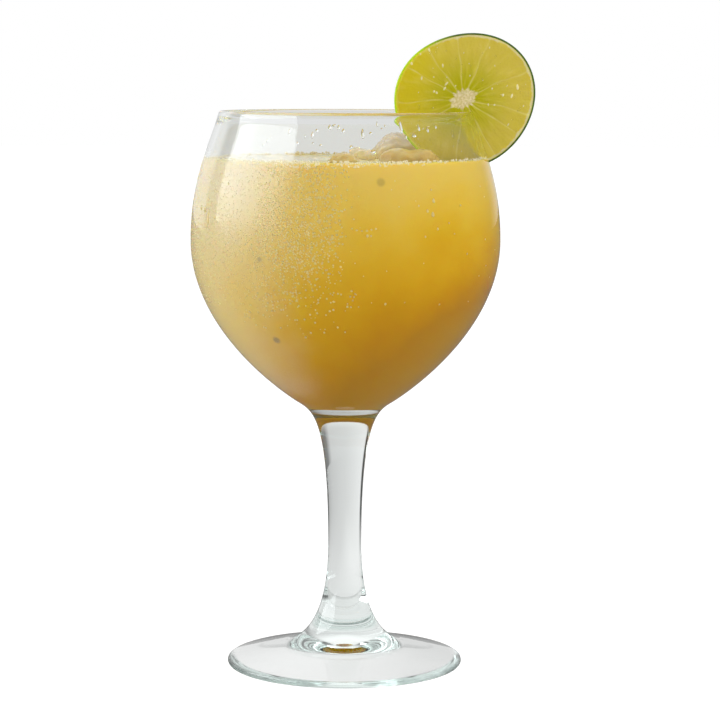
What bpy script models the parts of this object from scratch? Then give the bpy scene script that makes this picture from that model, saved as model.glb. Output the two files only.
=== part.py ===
"""Frozen lemonade in a stemmed balloon goblet, with lumps of ice and a slit wheel of lime on its rim.

Metres, +Z up. The foot stands on z = 0 and the origin is under the middle of the whole, so the goblet's axis
stands a little towards -X, away from the lime. The lime hangs on the rim at +X, its cut face turned to -Y. The
goblet is one piece of glass: bowl, solid stem and a foot that is hollow underneath and stands on a narrow ring.
The lemonade fills the bowl up to its level and has a pocket for each lump of ice and for the lime's lower edge.

Places are given from the goblet's axis, and AXIS is added where an object is placed.
"""

import math
from typing import NamedTuple

import bmesh
import bpy
from mathutils import Matrix, Vector

GAP = 0.0003
TURN_STEPS = 48
MERGE_DISTANCE = 0.00001

# The goblet's heights and radii, from the rim down
RIM_HEIGHT = 0.1942
RIM_RADIUS = 0.0441
RIM_THICKNESS = 0.0024
WALL_THICKNESS = 0.0019
BEAD_FADE = 0.0016
BELLY_RADIUS = 0.0538
BELLY_HEIGHT = 0.1495
UNDERSIDE_RADIUS = 0.0179
UNDERSIDE_HEIGHT = 0.0938
UNDERSIDE_WALL = 0.0032
HOLLOW_BOTTOM = 0.0935
STEM_RADIUS = 0.00585
STEM_WAIST_HEIGHT = 0.042
INSTEP_RADIUS = 0.022
INSTEP_HEIGHT = 0.0068
FOOT_RADIUS = 0.0412
FOOT_EDGE = 0.0024
FOOT_HOLLOW_RADIUS = 0.0385
FOOT_HOLLOW_DEPTH = 0.0080
FOOT_HOLLOW_CURVE = 1.3

# The slopes that its outline has where two stretches meet, and how far each bend is pulled along them
SHOULDER_LEAN = math.radians(14)
SHOULDER_PULL = 0.008
BELLY_PULL_UP = 0.022
BELLY_PULL_DOWN = 0.030
UNDERSIDE_SLOPE = math.radians(34)
UNDERSIDE_PULL = 0.008
HOLLOW_PULL = 0.0080
STEM_TOP_PULL = 0.007
WAIST_PULL_UP = 0.048
WAIST_PULL_DOWN = 0.016
INSTEP_SLOPE = math.radians(12)
INSTEP_PULL = 0.013

# How many straight runs each bend has
SHOULDER_RUNS = 7
BELLY_RUNS = 11
HOLLOW_RUNS = 5
LIP_RUNS = 6
STEM_RUNS = 10
FLARE_RUNS = 11
EDGE_RUNS = 5
EDGE_TOP_ANGLE = 75
FOOT_HOLLOW_RUNS = 8

# The lemonade
DRINK_LEVEL = 0.1779

# The lime wheel
LIME_RADIUS = 0.0237
LIME_THICKNESS = 0.0052
LIME_CENTRE = Vector((0.0411, 0.0, 0.1982))
LIME_SEGMENTS = 84
LIME_OVAL = 0.038
LIME_OVAL_ANGLE = math.radians(26)
LIME_BULGE = 0.018
LIME_BULGE_ANGLE = math.radians(38)
LIME_EDGE_ROUND = 0.0005
SLIT_BOTTOM = 0.165

# Where the goblet's axis stands: halfway between the far sides of the bowl and of the lime is the origin
AXIS = Vector(((BELLY_RADIUS - LIME_CENTRE.x - LIME_RADIUS) / 2, 0.0, 0.0))

# The lumps of ice
ICE_SQUARENESS = 0.72
ICE_UNEVENNESS = 0.05


class Lump(NamedTuple):
    """A lump of ice: where it floats, its half sizes, its turn and tilt in degrees, and its own unevenness."""

    name: str
    centre: Vector
    half_sizes: Vector
    turn: float
    tilt: float
    phase: float


ICE_LUMPS = (
    Lump("ice_large", Vector((0.0210, 0.0150, 0.1755)), Vector((0.0135, 0.0098, 0.0115)), 12, 8, 1.0),
    Lump("ice_front", Vector((0.0220, -0.0165, 0.1750)), Vector((0.0115, 0.0088, 0.0070)), -18, -7, 2.0),
    Lump("ice_clear", Vector((0.0052, -0.0062, 0.1765)), Vector((0.0056, 0.0054, 0.0054)), 30, 14, 3.0),
    Lump("ice_small", Vector((-0.0012, -0.0280, 0.1762)), Vector((0.0062, 0.0052, 0.0045)), -8, 5, 4.0),
)


def clear_scene():
    """Remove what a new file starts with."""
    for thing in list(bpy.data.objects):
        bpy.data.objects.remove(thing, do_unlink=True)


def make_collection(name):
    """A collection linked to the scene."""
    collection = bpy.data.collections.new(name)
    bpy.context.scene.collection.children.link(collection)
    return collection


def make_material(name, colour, roughness, transmission=0.0):
    """A Principled surface with one colour."""
    material = bpy.data.materials.new(name)
    material.use_nodes = True
    material.diffuse_color = (*colour, 1.0)
    surface = material.node_tree.nodes["Principled BSDF"]
    surface.inputs["Base Color"].default_value = (*colour, 1.0)
    surface.inputs["Roughness"].default_value = roughness
    surface.inputs["Metallic"].default_value = 0.0
    surface.inputs["Transmission Weight"].default_value = transmission
    return material


def bend(start, start_pull, end_pull, end, steps):
    """Points along a smooth bend, its start left out, pulled towards two handles."""
    points = []
    for step in range(1, steps + 1):
        t = step / steps
        s = 1.0 - t
        points.append(start * s**3 + start_pull * (3 * s * s * t) + end_pull * (3 * s * t * t) + end * t**3)
    return points


def bowl_outside():
    """The bowl's outer side as (radius, height), from just under the rim down to the stem."""
    lip_rise = RIM_THICKNESS / 2 * (1 - math.sin(SHOULDER_LEAN))
    rim = Vector((RIM_RADIUS, RIM_HEIGHT - lip_rise))
    belly = Vector((BELLY_RADIUS, BELLY_HEIGHT))
    under = Vector((UNDERSIDE_RADIUS, UNDERSIDE_HEIGHT))
    rim_handle = rim + SHOULDER_PULL * Vector((math.sin(SHOULDER_LEAN), -math.cos(SHOULDER_LEAN)))
    above_belly = belly + Vector((0, BELLY_PULL_UP))
    below_belly = belly - Vector((0, BELLY_PULL_DOWN))
    under_handle = under + UNDERSIDE_PULL * Vector((math.cos(UNDERSIDE_SLOPE), math.sin(UNDERSIDE_SLOPE)))
    points = [rim]
    points += bend(rim, rim_handle, above_belly, belly, SHOULDER_RUNS)
    points += bend(belly, below_belly, under_handle, under, BELLY_RUNS)
    return points


def wall_thickness(height):
    """The wall is thin at the belly, thicker towards the stem, and has a bead under the rim."""
    depth = (RIM_HEIGHT - height) / (RIM_HEIGHT - UNDERSIDE_HEIGHT)
    plain = WALL_THICKNESS + (UNDERSIDE_WALL - WALL_THICKNESS) * max(0.0, depth) ** 3
    below_bead = max(0.0, RIM_HEIGHT - RIM_THICKNESS / 2 - height)
    return plain + (RIM_THICKNESS - plain) * math.exp(-((below_bead / BEAD_FADE) ** 2))


def shifted_inwards(points, extra, with_wall):
    """The outer side moved in along its normal by extra, and by the wall where with_wall is set."""
    moved = []
    for index, point in enumerate(points):
        before = points[max(index - 1, 0)]
        after = points[min(index + 1, len(points) - 1)]
        along = (after - before).normalized()
        inwards = Vector((along.y, -along.x))
        wall = wall_thickness(point.y) if with_wall else 0.0
        moved.append(point + inwards * (wall + extra))
    return moved


def hollow_side(clearance):
    """The inner side of the bowl from the rim down to its bottom on the axis, moved in by clearance."""
    side = shifted_inwards(bowl_outside(), clearance, True)
    end = side[-1]
    slope = Vector((-math.cos(UNDERSIDE_SLOPE), -math.sin(UNDERSIDE_SLOPE)))
    bottom = Vector((0.0, HOLLOW_BOTTOM + clearance))
    bottom_handle = bottom + Vector((HOLLOW_PULL, 0))
    return side + bend(end, end + HOLLOW_PULL * slope, bottom_handle, bottom, HOLLOW_RUNS)


def rim_round(clearance):
    """The rounded lip over the wall, from its inner side to its outer side, both ends left out."""
    inner = shifted_inwards(bowl_outside(), clearance, True)[0]
    outer = shifted_inwards(bowl_outside(), -clearance, False)[0]
    middle = (inner + outer) / 2
    across = (outer - inner) / 2
    up = Vector((-across.y, across.x))
    angles = [math.pi * run / LIP_RUNS for run in range(1, LIP_RUNS)]
    return [middle - across * math.cos(angle) + up * math.sin(angle) for angle in angles]


def stem_and_foot():
    """The outer side from the bowl's underside down the stem, over the foot and up its hollow to the axis."""
    under = Vector((UNDERSIDE_RADIUS, UNDERSIDE_HEIGHT))
    waist = Vector((STEM_RADIUS, STEM_WAIST_HEIGHT))
    instep = Vector((INSTEP_RADIUS, INSTEP_HEIGHT))
    slope = Vector((math.cos(UNDERSIDE_SLOPE), math.sin(UNDERSIDE_SLOPE)))
    above_waist = waist + Vector((0, WAIST_PULL_UP))
    below_waist = waist - Vector((0, WAIST_PULL_DOWN))
    instep_handle = instep + INSTEP_PULL * Vector((-math.cos(INSTEP_SLOPE), math.sin(INSTEP_SLOPE)))
    points = bend(under, under - STEM_TOP_PULL * slope, above_waist, waist, STEM_RUNS)
    points += bend(waist, below_waist, instep_handle, instep, FLARE_RUNS)
    edge_radius = FOOT_EDGE / 2
    edge_centre = Vector((FOOT_RADIUS - edge_radius, edge_radius))
    for run in range(EDGE_RUNS + 1):
        turn = math.radians(EDGE_TOP_ANGLE - (EDGE_TOP_ANGLE + 90) * run / EDGE_RUNS)
        points.append(edge_centre + edge_radius * Vector((math.cos(turn), math.sin(turn))))
    for run in range(FOOT_HOLLOW_RUNS + 1):
        outwards = 1 - run / FOOT_HOLLOW_RUNS
        rise = FOOT_HOLLOW_DEPTH * (1 - outwards**FOOT_HOLLOW_CURVE)
        points.append(Vector((FOOT_HOLLOW_RADIUS * outwards, rise)))
    return points


def turned(name, outline, collection):
    """A solid turned about Z from an outline of (radius, height)."""
    mesh = bpy.data.meshes.new(name)
    shape = bmesh.new()
    corners = [shape.verts.new((point.x, 0.0, point.y)) for point in outline]
    for first, second in zip(corners, corners[1:]):
        shape.edges.new((first, second))
    shape.to_mesh(mesh)
    shape.free()
    thing = bpy.data.objects.new(name, mesh)
    thing.location = AXIS
    collection.objects.link(thing)
    screw = thing.modifiers.new("turn", "SCREW")
    screw.axis = "Z"
    screw.angle = math.tau
    screw.steps = TURN_STEPS
    screw.render_steps = TURN_STEPS
    screw.use_merge_vertices = True
    screw.merge_threshold = MERGE_DISTANCE
    screw.use_smooth_shade = True
    return thing


def cut(thing, cutter):
    """Take the cutter's shape out of a piece."""
    boolean = thing.modifiers.new(cutter.name, "BOOLEAN")
    boolean.operation = "DIFFERENCE"
    boolean.solver = "EXACT"
    boolean.object = cutter


def hide_cutter(cutter):
    """A cutter shows as wires and isn't part of the drink."""
    cutter.hide_render = True
    cutter.display_type = "WIRE"


def lime_reach(angle):
    """How far the uneven wheel reaches from its centre at an angle from +X."""
    oval = LIME_OVAL * math.cos(2 * (angle - LIME_OVAL_ANGLE))
    bulge = LIME_BULGE * math.cos(3 * (angle - LIME_BULGE_ANGLE))
    return LIME_RADIUS * (1 + oval + bulge)


def lime_disc(name, grow, collection):
    """The wheel without its slit, standing upright with its faces towards -Y and +Y."""
    shape = bmesh.new()
    bmesh.ops.create_cone(
        shape, cap_ends=True, segments=LIME_SEGMENTS, radius1=1.0, radius2=1.0, depth=LIME_THICKNESS + 2 * grow
    )
    for corner in shape.verts:
        reach = lime_reach(math.atan2(corner.co.y, corner.co.x)) + grow
        corner.co.x *= reach
        corner.co.y *= reach
    bmesh.ops.transform(shape, matrix=Matrix.Rotation(math.radians(90), 4, "X"), verts=shape.verts)
    mesh = bpy.data.meshes.new(name)
    shape.to_mesh(mesh)
    shape.free()
    disc = bpy.data.objects.new(name, mesh)
    disc.location = AXIS + LIME_CENTRE
    collection.objects.link(disc)
    return disc


def ice_shape(lump, name, grow, collection):
    """A half-melted cube of ice: a rounded, slightly uneven block."""
    shape = bmesh.new()
    bmesh.ops.create_icosphere(shape, subdivisions=2, radius=1.0)
    for corner in shape.verts:
        way = corner.co.normalized()
        block = Vector([math.copysign(abs(part) ** ICE_SQUARENESS, part) for part in way])
        wave = math.sin(3 * way.x + lump.phase) * math.cos(2 * way.y - lump.phase)
        wave += math.sin(3 * way.z + 2 * lump.phase)
        corner.co = block * lump.half_sizes * (1 + ICE_UNEVENNESS * wave)
        corner.co += corner.co.normalized() * grow
    mesh = bpy.data.meshes.new(name)
    shape.to_mesh(mesh)
    shape.free()
    thing = bpy.data.objects.new(name, mesh)
    thing.location = AXIS + lump.centre
    thing.rotation_euler = (math.radians(lump.tilt), 0.0, math.radians(lump.turn))
    collection.objects.link(thing)
    return thing


def build_goblet(collection, glass):
    """One piece of pressed glass, from the bowl's bottom over the rim and down to the hollow under the foot."""
    outline = list(reversed(hollow_side(0.0)))
    outline += rim_round(0.0)
    outline += bowl_outside()
    outline += stem_and_foot()
    goblet = turned("goblet", outline, collection)
    goblet.data.materials.append(glass)


def build_lemonade(collection, cutters, drink):
    """The drink, up to its level, with its pockets for the ice and the lime."""
    wall = hollow_side(GAP)
    side = [point for point in wall if point.y < DRINK_LEVEL]
    below = side[0]
    above = wall[-len(side) - 1]
    share = (DRINK_LEVEL - below.y) / (above.y - below.y)
    surface_edge = below + (above - below) * share
    outline = [Vector((0.0, DRINK_LEVEL)), surface_edge, *side]
    lemonade = turned("lemonade", outline, collection)
    lemonade.data.materials.append(drink)
    for lump in ICE_LUMPS:
        pocket = ice_shape(lump, lump.name + "_pocket", GAP, cutters)
        hide_cutter(pocket)
        cut(lemonade, pocket)
    notch = lime_disc("lime_notch", GAP, cutters)
    hide_cutter(notch)
    cut(lemonade, notch)


def build_ice(collection, ice):
    """Each lump is a piece of its own, afloat with its top above the drink."""
    for lump in ICE_LUMPS:
        thing = ice_shape(lump, lump.name, 0.0, collection)
        thing.data.materials.append(ice)


def build_lime(collection, cutters, lime):
    """The wheel of lime, slit from its edge nearly to its core, and pushed down over the wall."""
    wheel = lime_disc("lime_slice", 0.0, collection)
    wheel.data.materials.append(lime)
    rounding = wheel.modifiers.new("edge", "BEVEL")
    rounding.width = LIME_EDGE_ROUND
    rounding.segments = 2
    rounding.limit_method = "ANGLE"
    outer = [point for point in shifted_inwards(bowl_outside(), -GAP, False) if point.y > SLIT_BOTTOM]
    inner = [point for point in shifted_inwards(bowl_outside(), GAP, True) if point.y > SLIT_BOTTOM]
    outline = [*reversed(inner), *rim_round(GAP), *outer]
    slit = turned("lime_slit", [*outline, outline[0]], cutters)
    hide_cutter(slit)
    cut(wheel, slit)


def main():
    """Model the goblet and what is in it and on it."""
    clear_scene()
    parts = make_collection("frozen_lemonade")
    cutters = make_collection("cutters")
    glass = make_material("clear_glass", (0.93, 0.97, 0.95), 0.02, transmission=1.0)
    drink = make_material("cloudy_lemonade", (0.72, 0.50, 0.14), 0.15)
    ice = make_material("cloudy_ice", (0.86, 0.82, 0.66), 0.10, transmission=0.6)
    lime = make_material("lime_flesh", (0.60, 0.62, 0.12), 0.35)
    build_goblet(parts, glass)
    build_lemonade(parts, cutters, drink)
    build_ice(parts, ice)
    build_lime(parts, cutters, lime)


main()
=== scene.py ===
import bisect
import math
import random

import bmesh
import bpy
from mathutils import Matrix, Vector, noise


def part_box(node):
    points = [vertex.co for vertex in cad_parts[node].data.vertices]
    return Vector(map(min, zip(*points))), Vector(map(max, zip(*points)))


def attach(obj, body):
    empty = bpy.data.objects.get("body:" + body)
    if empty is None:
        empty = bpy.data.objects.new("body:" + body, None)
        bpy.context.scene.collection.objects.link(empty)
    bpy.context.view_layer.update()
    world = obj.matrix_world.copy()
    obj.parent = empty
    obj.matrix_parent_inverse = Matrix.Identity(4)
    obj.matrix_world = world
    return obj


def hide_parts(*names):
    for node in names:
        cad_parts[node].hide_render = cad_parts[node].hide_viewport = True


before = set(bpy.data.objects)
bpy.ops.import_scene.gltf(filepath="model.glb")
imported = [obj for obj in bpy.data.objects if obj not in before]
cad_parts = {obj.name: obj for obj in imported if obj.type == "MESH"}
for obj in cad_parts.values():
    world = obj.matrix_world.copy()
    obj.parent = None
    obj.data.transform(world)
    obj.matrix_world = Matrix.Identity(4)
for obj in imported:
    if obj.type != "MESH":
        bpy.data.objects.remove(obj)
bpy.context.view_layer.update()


# The camera. It stands 0.9 m away, a little above the rim, and looks slightly down. The goblet stands left
# of the picture's middle, and the picture leans by a fifth of a degree. Places are given from the goblet's
# axis.
goblet_low, goblet_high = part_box("goblet")
AXIS = Vector(((goblet_low.x + goblet_high.x) / 2, 0.0, 0.0))
CAMERA_PLACE = AXIS + Vector((0.0048, -0.895, 0.209))
CAMERA_PITCH = 6.47
CAMERA_LEAN = 0.2
CAMERA_LENS = 128.8

camera_data = bpy.data.cameras.new("camera")
camera_data.sensor_width = 36.0
camera_data.lens = CAMERA_LENS
camera = bpy.data.objects.new("camera", camera_data)
camera.location = CAMERA_PLACE
camera.rotation_euler = (math.radians(90 - CAMERA_PITCH), math.radians(-CAMERA_LEAN), 0.0)
bpy.context.scene.collection.objects.link(camera)
bpy.context.scene.camera = camera
bpy.context.scene.view_settings.view_transform = "Standard"


# The studio. A white wall stands behind the table and a tall soft light to the left. The rest of the room is
# dimmer, and a narrow dark gap at the back left gives the clear glass its dark outlines. The camera itself
# sees white all round.
WALLS = (
    # Direction in degrees round the goblet from +X, and the brightness there
    (-170, 0.16), (20, 0.16), (48, 0.24), (62, 0.66), (90, 0.72),
    (137, 0.95), (144, 0.02), (156, 0.02), (161, 0.60), (175, 0.52),
)
CEILING_START = 0.20
CEILING_FULL = 0.85
CEILING_LIGHT = (1.1, 1.1, 1.1, 1.0)
SEEN_WHITE = (1.0, 1.0, 1.0, 1.0)


def colour_steps(nodes, links, share, stops):
    ramp = nodes.new("ShaderNodeValToRGB")
    ramp.color_ramp.elements.remove(ramp.color_ramp.elements[1])
    for index, (position, colour) in enumerate(stops):
        stop = ramp.color_ramp.elements.new(position) if index else ramp.color_ramp.elements[0]
        stop.position = position
        stop.color = (*colour, 1.0)
    links.new(share, ramp.inputs["Fac"])
    return ramp.outputs["Color"]


def light_all_round(nodes, links, place, levels):
    around = nodes.new("ShaderNodeTexGradient")
    around.gradient_type = "RADIAL"
    links.new(place, around.inputs["Vector"])
    stops = [(angle / 360 + 0.5, (level, level, level)) for angle, level in levels]
    return colour_steps(nodes, links, around.outputs["Fac"], stops)


def part_along(nodes, links, place, axis):
    split = nodes.new("ShaderNodeSeparateXYZ")
    links.new(place, split.inputs["Vector"])
    return split.outputs[axis]


def ramp_between(nodes, links, value, start, end, low=0.0, high=1.0):
    ramp = nodes.new("ShaderNodeMapRange")
    ramp.interpolation_type = "SMOOTHSTEP"
    ramp.inputs["From Min"].default_value = start
    ramp.inputs["From Max"].default_value = end
    ramp.inputs["To Min"].default_value = low
    ramp.inputs["To Max"].default_value = high
    links.new(value, ramp.inputs["Value"])
    return ramp.outputs["Result"]


def tinted(nodes, links, under, over, amount):
    blend = nodes.new("ShaderNodeMix")
    blend.data_type = "RGBA"
    for colour, socket in ((under, blend.inputs["A"]), (over, blend.inputs["B"])):
        if isinstance(colour, tuple):
            socket.default_value = colour
        else:
            links.new(colour, socket)
    links.new(amount, blend.inputs["Factor"])
    return blend.outputs["Result"]


world = bpy.data.worlds.new("studio")
bpy.context.scene.world = world
world.use_nodes = True
room_nodes, room_links = world.node_tree.nodes, world.node_tree.links
room_nodes.clear()
direction = room_nodes.new("ShaderNodeTexCoord").outputs["Generated"]
room_walls = light_all_round(room_nodes, room_links, direction, WALLS)
upwards = part_along(room_nodes, room_links, direction, "Z")
overhead = ramp_between(room_nodes, room_links, upwards, CEILING_START, CEILING_FULL)
room_light = tinted(room_nodes, room_links, room_walls, CEILING_LIGHT, overhead)
to_camera = room_nodes.new("ShaderNodeLightPath").outputs["Is Camera Ray"]
glow = room_nodes.new("ShaderNodeBackground")
room_links.new(tinted(room_nodes, room_links, room_light, SEEN_WHITE, to_camera), glow.inputs["Color"])
room_out = room_nodes.new("ShaderNodeOutputWorld")
room_links.new(glow.outputs["Background"], room_out.inputs["Surface"])

# Light is thrown to and fro many times in the wedge of the foot, so the rays may go on for long.
light_paths = bpy.context.scene.cycles
light_paths.max_bounces = 28
light_paths.glossy_bounces = 22
light_paths.transmission_bounces = 22
light_paths.transparent_max_bounces = 24
light_paths.blur_glossy = 0.0

# The softbox is two lamps: the one that the glass mirrors stands higher than the one that lights the drink.
# Sizes are the width and the height, and a radiance is the brightness of the lamp's face.
SOFTBOX_PLACE = (-0.883, -0.176, 0.53)
SOFTBOX_AIM = (0.0, 0.0, 0.40)
SOFTBOX_SIZE = (1.12, 0.66)
SOFTBOX_RADIANCE = 3.1
SOFTBOX_COLOUR = (0.95, 1.0, 1.02)
SIDE_LIGHT_PLACE = (-0.883, -0.176, 0.08)
SIDE_LIGHT_AIM = (0.0, 0.0, 0.10)
SIDE_LIGHT_SIZE = (1.12, 0.42)
SIDE_LIGHT_RADIANCE = 4.1
SIDE_LIGHT_COLOUR = (0.97, 1.0, 1.01)
FILL_PLACE = (0.95, -0.80, 0.40)
FILL_AIM = (0.0, 0.0, 0.12)
FILL_SIZE = (1.0, 0.9)
FILL_RADIANCE = 3.4
FILL_COLOUR = (1.0, 1.0, 1.0)


def soft_light(name, place, aim, size, radiance, colour, in_glass):
    lamp = bpy.data.lights.new(name, "AREA")
    lamp.shape = "RECTANGLE"
    lamp.size, lamp.size_y = size
    lamp.energy = radiance * size[0] * size[1] * math.pi
    lamp.color = colour
    holder = bpy.data.objects.new(name, lamp)
    holder.location = AXIS + Vector(place)
    holder.rotation_euler = (Vector(aim) - Vector(place)).to_track_quat("-Z", "Y").to_euler()
    holder.visible_camera = False
    holder.visible_glossy = in_glass
    holder.visible_transmission = in_glass
    holder.visible_diffuse = not in_glass
    bpy.context.scene.collection.objects.link(holder)


soft_light("softbox", SOFTBOX_PLACE, SOFTBOX_AIM, SOFTBOX_SIZE, SOFTBOX_RADIANCE, SOFTBOX_COLOUR, True)
soft_light(
    "side_light", SIDE_LIGHT_PLACE, SIDE_LIGHT_AIM, SIDE_LIGHT_SIZE,
    SIDE_LIGHT_RADIANCE, SIDE_LIGHT_COLOUR, False,
)
soft_light("fill_light", FILL_PLACE, FILL_AIM, FILL_SIZE, FILL_RADIANCE, FILL_COLOUR, False)


# The table. A white sheet under the foot. The camera sees it plain, but what is seen of it in the glass is a
# glow of painted light and shade all round, in place of what a polished sheet would show, and what the glass
# mirrors of it is a dimmer painted grey.
TABLE_LIGHT = (
    # Direction in degrees round the goblet from +X, and the painted brightness there
    (-170, 0.42), (-4, 0.30), (2, 0.12), (30, 0.12), (36, 0.52), (60, 0.62), (90, 0.72),
    (137, 0.95), (144, 0.02), (156, 0.02), (161, 0.60),
)
TABLE_RADIUS = 6.0
TABLE_DROP = 0.0003
TABLE_GLOW = (0.48, 0.48, 0.48, 1.0)
# Under the foot, between these places from left to right, the painted brightness goes from the first to the
# second, lighter at the left as under the side light
FOOT_SPAN = (-0.05, 0.05)
TABLE_PAINTED_LIGHT_UNDER_FOOT = (0.92, 0.74)
TABLE_NEAR = 0.06
TABLE_FAR = 0.45
# The dim painted grey that the glass mirrors of the table
TABLE_PAINTED_MIRRORED_GREY = (0.20, 0.20, 0.20, 1.0)


def new_finish(name, settings):
    finish = bpy.data.materials.new(name)
    finish.use_nodes = True
    for socket, value in settings.items():
        finish.node_tree.nodes["Principled BSDF"].inputs[socket].default_value = value
    return finish, finish.node_tree.nodes, finish.node_tree.links


def show_either(nodes, links, share, first, second):
    either = nodes.new("ShaderNodeMixShader")
    links.new(share, either.inputs["Fac"])
    links.new(first, either.inputs[1])
    links.new(second, either.inputs[2])
    links.new(either.outputs["Shader"], nodes["Material Output"].inputs["Surface"])


table_mesh = bpy.data.meshes.new("table")
table_shape = bmesh.new()
bmesh.ops.create_circle(table_shape, cap_ends=True, segments=96, radius=TABLE_RADIUS)
table_shape.to_mesh(table_mesh)
table_shape.free()
table = bpy.data.objects.new("table", table_mesh)
table.location = AXIS - Vector((0.0, 0.0, TABLE_DROP))
bpy.context.scene.collection.objects.link(table)
table_paint, table_nodes, table_links = new_finish("white_table", {
    "Base Color": (0.72, 0.72, 0.72, 1.0),
    "Roughness": 0.8,
    "Specular IOR Level": 0.0,
    "Emission Color": TABLE_GLOW,
})
table_face = table_nodes["Principled BSDF"]
table_ray = table_nodes.new("ShaderNodeLightPath")
table_links.new(table_ray.outputs["Is Camera Ray"], table_face.inputs["Emission Strength"])
table_spot = table_nodes.new("ShaderNodeTexCoord").outputs["Object"]
table_reach = table_nodes.new("ShaderNodeVectorMath")
table_reach.operation = "LENGTH"
table_links.new(table_spot, table_reach.inputs[0])
sideways = part_along(table_nodes, table_links, table_spot, "X")
near_light = ramp_between(table_nodes, table_links, sideways, *FOOT_SPAN, *TABLE_PAINTED_LIGHT_UNDER_FOOT)
far_light = light_all_round(table_nodes, table_links, table_spot, TABLE_LIGHT)
far_share = ramp_between(table_nodes, table_links, table_reach.outputs["Value"], TABLE_NEAR, TABLE_FAR)
table_light = tinted(table_nodes, table_links, near_light, far_light, far_share)
through_glass = table_ray.outputs["Is Transmission Ray"]
# The glass sees the table as a glow of painted light and shade, not as a lit sheet
table_painted_glow = table_nodes.new("ShaderNodeEmission")
in_glass = tinted(table_nodes, table_links, TABLE_PAINTED_MIRRORED_GREY, table_light, through_glass)
table_links.new(in_glass, table_painted_glow.inputs["Color"])
glass_ray = table_ray.outputs["Is Glossy Ray"]
show_either(table_nodes, table_links, glass_ray, table_face.outputs["BSDF"], table_painted_glow.outputs["Emission"])
table_mesh.materials.append(table_paint)


# The goblet. One piece of pressed glass: a balloon bowl with a beaded rim, a solid stem and a round foot that
# is hollowed underneath. It is turned from the solid's own outline in finer steps.
RIM_HEIGHT = 0.1942
RIM_RADIUS = 0.0441
RIM_THICKNESS = 0.0024
WALL_THICKNESS = 0.0019
BEAD_FADE = 0.0016
BELLY_RADIUS = goblet_high.x - AXIS.x
BELLY_HEIGHT = 0.1495
UNDERSIDE_RADIUS = 0.0179
UNDERSIDE_HEIGHT = 0.0938
UNDERSIDE_WALL = 0.0032
HOLLOW_BOTTOM = 0.0935
STEM_RADIUS = 0.00585
STEM_WAIST_HEIGHT = 0.042
INSTEP_RADIUS = 0.022
INSTEP_HEIGHT = 0.0068
FOOT_RADIUS = 0.0412
FOOT_EDGE = 0.0024
FOOT_EDGE_START = 75
FOOT_EDGE_TURN = 165
FOOT_HOLLOW_RADIUS = 0.0385
FOOT_HOLLOW_DEPTH = 0.0080
FOOT_HOLLOW_CURVE = 1.3
SHOULDER_LEAN = math.radians(14)
SHOULDER_PULL = 0.008
BELLY_PULL_UP = 0.022
BELLY_PULL_DOWN = 0.030
UNDERSIDE_SLOPE = math.radians(34)
UNDERSIDE_PULL = 0.008
HOLLOW_PULL = 0.0080
STEM_TOP_PULL = 0.007
WAIST_PULL_UP = 0.048
WAIST_PULL_DOWN = 0.016
INSTEP_SLOPE = math.radians(12)
INSTEP_PULL = 0.013
SHOULDER_STEPS = 44
BELLY_STEPS = 52
HOLLOW_STEPS = 14
RIM_STEPS = 14
STEM_STEPS = 48
INSTEP_STEPS = 44
FOOT_EDGE_STEPS = 12
FOOT_HOLLOW_STEPS = 24
GOBLET_AROUND = 160
ON_AXIS = 1e-6
DRINK_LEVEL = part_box("lemonade")[1].z


def bend(start, start_pull, end_pull, end, steps):
    points = []
    for step in range(1, steps + 1):
        t = step / steps
        s = 1.0 - t
        points.append(start * s**3 + start_pull * (3 * s * s * t) + end_pull * (3 * s * t * t) + end * t**3)
    return points


def bowl_outside():
    lip_rise = RIM_THICKNESS / 2 * (1 - math.sin(SHOULDER_LEAN))
    rim = Vector((RIM_RADIUS, RIM_HEIGHT - lip_rise))
    belly = Vector((BELLY_RADIUS, BELLY_HEIGHT))
    under = Vector((UNDERSIDE_RADIUS, UNDERSIDE_HEIGHT))
    rim_handle = rim + SHOULDER_PULL * Vector((math.sin(SHOULDER_LEAN), -math.cos(SHOULDER_LEAN)))
    under_handle = under + UNDERSIDE_PULL * Vector((math.cos(UNDERSIDE_SLOPE), math.sin(UNDERSIDE_SLOPE)))
    points = [rim]
    points += bend(rim, rim_handle, belly + Vector((0, BELLY_PULL_UP)), belly, SHOULDER_STEPS)
    points += bend(belly, belly - Vector((0, BELLY_PULL_DOWN)), under_handle, under, BELLY_STEPS)
    return points


def wall_thickness(height):
    depth = (RIM_HEIGHT - height) / (RIM_HEIGHT - UNDERSIDE_HEIGHT)
    plain = WALL_THICKNESS + (UNDERSIDE_WALL - WALL_THICKNESS) * max(0.0, depth) ** 3
    below_bead = max(0.0, RIM_HEIGHT - RIM_THICKNESS / 2 - height)
    return plain + (RIM_THICKNESS - plain) * math.exp(-((below_bead / BEAD_FADE) ** 2))


def shifted_inwards(points, extra, with_wall):
    moved = []
    for index, point in enumerate(points):
        along = (points[min(index + 1, len(points) - 1)] - points[max(index - 1, 0)]).normalized()
        inwards = Vector((along.y, -along.x))
        wall = wall_thickness(point.y) if with_wall else 0.0
        moved.append(point + inwards * (wall + extra))
    return moved


def hollow_side(clearance):
    side = shifted_inwards(bowl_outside(), clearance, True)
    end = side[-1]
    slope = Vector((-math.cos(UNDERSIDE_SLOPE), -math.sin(UNDERSIDE_SLOPE)))
    bottom = Vector((0.0, HOLLOW_BOTTOM + clearance))
    bottom_handle = bottom + Vector((HOLLOW_PULL, 0))
    return side + bend(end, end + HOLLOW_PULL * slope, bottom_handle, bottom, HOLLOW_STEPS)


def rim_round(clearance):
    inner = shifted_inwards(bowl_outside(), clearance, True)[0]
    outer = shifted_inwards(bowl_outside(), -clearance, False)[0]
    middle, across = (inner + outer) / 2, (outer - inner) / 2
    up = Vector((-across.y, across.x))
    angles = [math.pi * run / RIM_STEPS for run in range(1, RIM_STEPS)]
    return [middle - across * math.cos(angle) + up * math.sin(angle) for angle in angles]


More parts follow.
